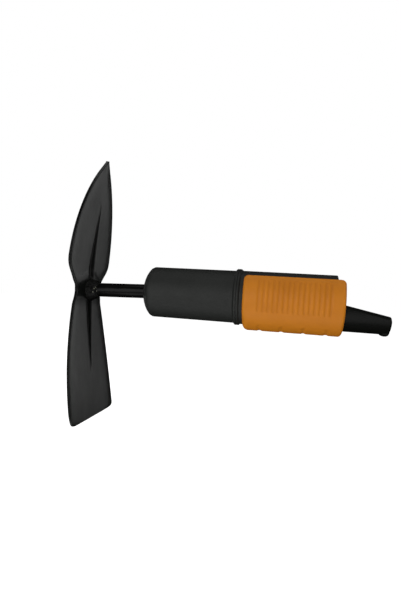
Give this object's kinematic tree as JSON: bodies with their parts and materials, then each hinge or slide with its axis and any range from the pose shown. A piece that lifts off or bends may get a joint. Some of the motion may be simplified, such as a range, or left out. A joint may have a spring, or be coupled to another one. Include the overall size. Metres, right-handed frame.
{
  "type": "hoe head",
  "caption": "Double-ended hoe head with a pointed leaf blade, a flared straight blade and a half-lap handle coupling with a sliding locking sleeve.",
  "frame": {"origin": "on the barrel's axis, at the coupling's square shoulder", "axes": "+X towards the handle, +Z towards the pointed leaf, Y = 0 is the plane of symmetry"},
  "size_m": [0.2123, 0.0694, 0.1872],
  "materials": {
    "blade_coat": "satin black coating, fine texture, worn at the edges",
    "shank_coat": "gloss black coating",
    "weld_coat": "black coating over a rippled weld, with small bare spots",
    "housing_plastic": "black, fine moulded texture",
    "tongue_plastic": "black, smooth satin",
    "sleeve_plastic": "orange, satin, ribbed grip",
    "bare_steel": "zinc plated",
    "spring_steel": "blued spring steel"
  },
  "bodies": {
    "head": {"blade": "blade_coat", "shank": "shank_coat", "root_weld": "weld_coat", "tenon_weld": "weld_coat", "barrel": "housing_plastic", "coupling_core": "housing_plastic", "tongue": "tongue_plastic", "shank_pin": "bare_steel", "tongue_screws": "bare_steel", "detent_spring": "spring_steel", "spring_screw": "bare_steel"},
    "sleeve": {"locking_sleeve": "sleeve_plastic"}
  },
  "joints": [
    {"name": "sleeve_slide", "type": "slide", "parent": "head", "child": "sleeve", "axis": [1, 0, 0], "range_m": [0, 0.024]}
  ]
}
